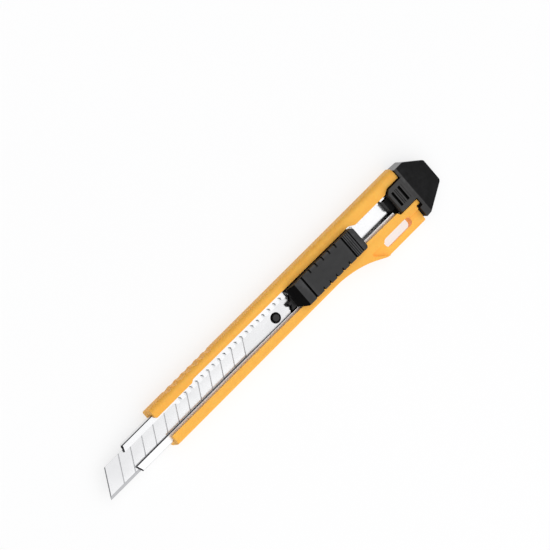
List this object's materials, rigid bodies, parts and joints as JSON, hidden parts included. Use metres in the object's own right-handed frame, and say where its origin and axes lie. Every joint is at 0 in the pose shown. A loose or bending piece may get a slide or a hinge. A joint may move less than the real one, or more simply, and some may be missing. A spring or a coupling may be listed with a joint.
{
  "type": "snap-off utility knife",
  "caption": "Slim snap-off utility knife with a scored steel blade on a sliding thumb pad, a steel channel in a moulded handle, a lanyard lug and a plug-in end cap.",
  "frame": {"origin": "middle of the overall length and width, on the handle's flat back, with the blade part way out", "axes": "+X along the knife towards the end cap, +Y towards the spine side with the grip scallops, +Z out of the slotted face that carries the thumb pad"},
  "size_m": [0.1474, 0.02, 0.0087],
  "materials": {
    "handle_plastic": "moulded amber plastic, satin with a fine texture",
    "sleeve_steel": "bright rolled stainless sheet",
    "blade_steel": "ground carbon steel with a fine lengthwise grain",
    "carrier_plastic": "black moulded plastic",
    "spring_steel": "bright spring strip",
    "slider_plastic": "charcoal moulded plastic, fine spark texture",
    "cap_plastic": "black moulded plastic, fine spark texture"
  },
  "bodies": {
    "handle": {"handle_body": "handle_plastic", "blade_sleeve": "sleeve_steel"},
    "slider": {"snap_off_blade": "blade_steel", "blade_carrier": "carrier_plastic", "thumb_slider": "slider_plastic", "detent_spring": "spring_steel"},
    "cap": {"end_cap": "cap_plastic"}
  },
  "joints": [
    {"name": "slider_travel", "type": "slide", "parent": "handle", "child": "slider", "axis": [-1, 0, 0], "range_m": [-0.015, 0.05], "deforming": ["detent_spring"]},
    {"name": "end_cap_pull", "type": "slide", "parent": "handle", "child": "cap", "axis": [1, 0, 0], "range_m": [0, 0.03]}
  ]
}
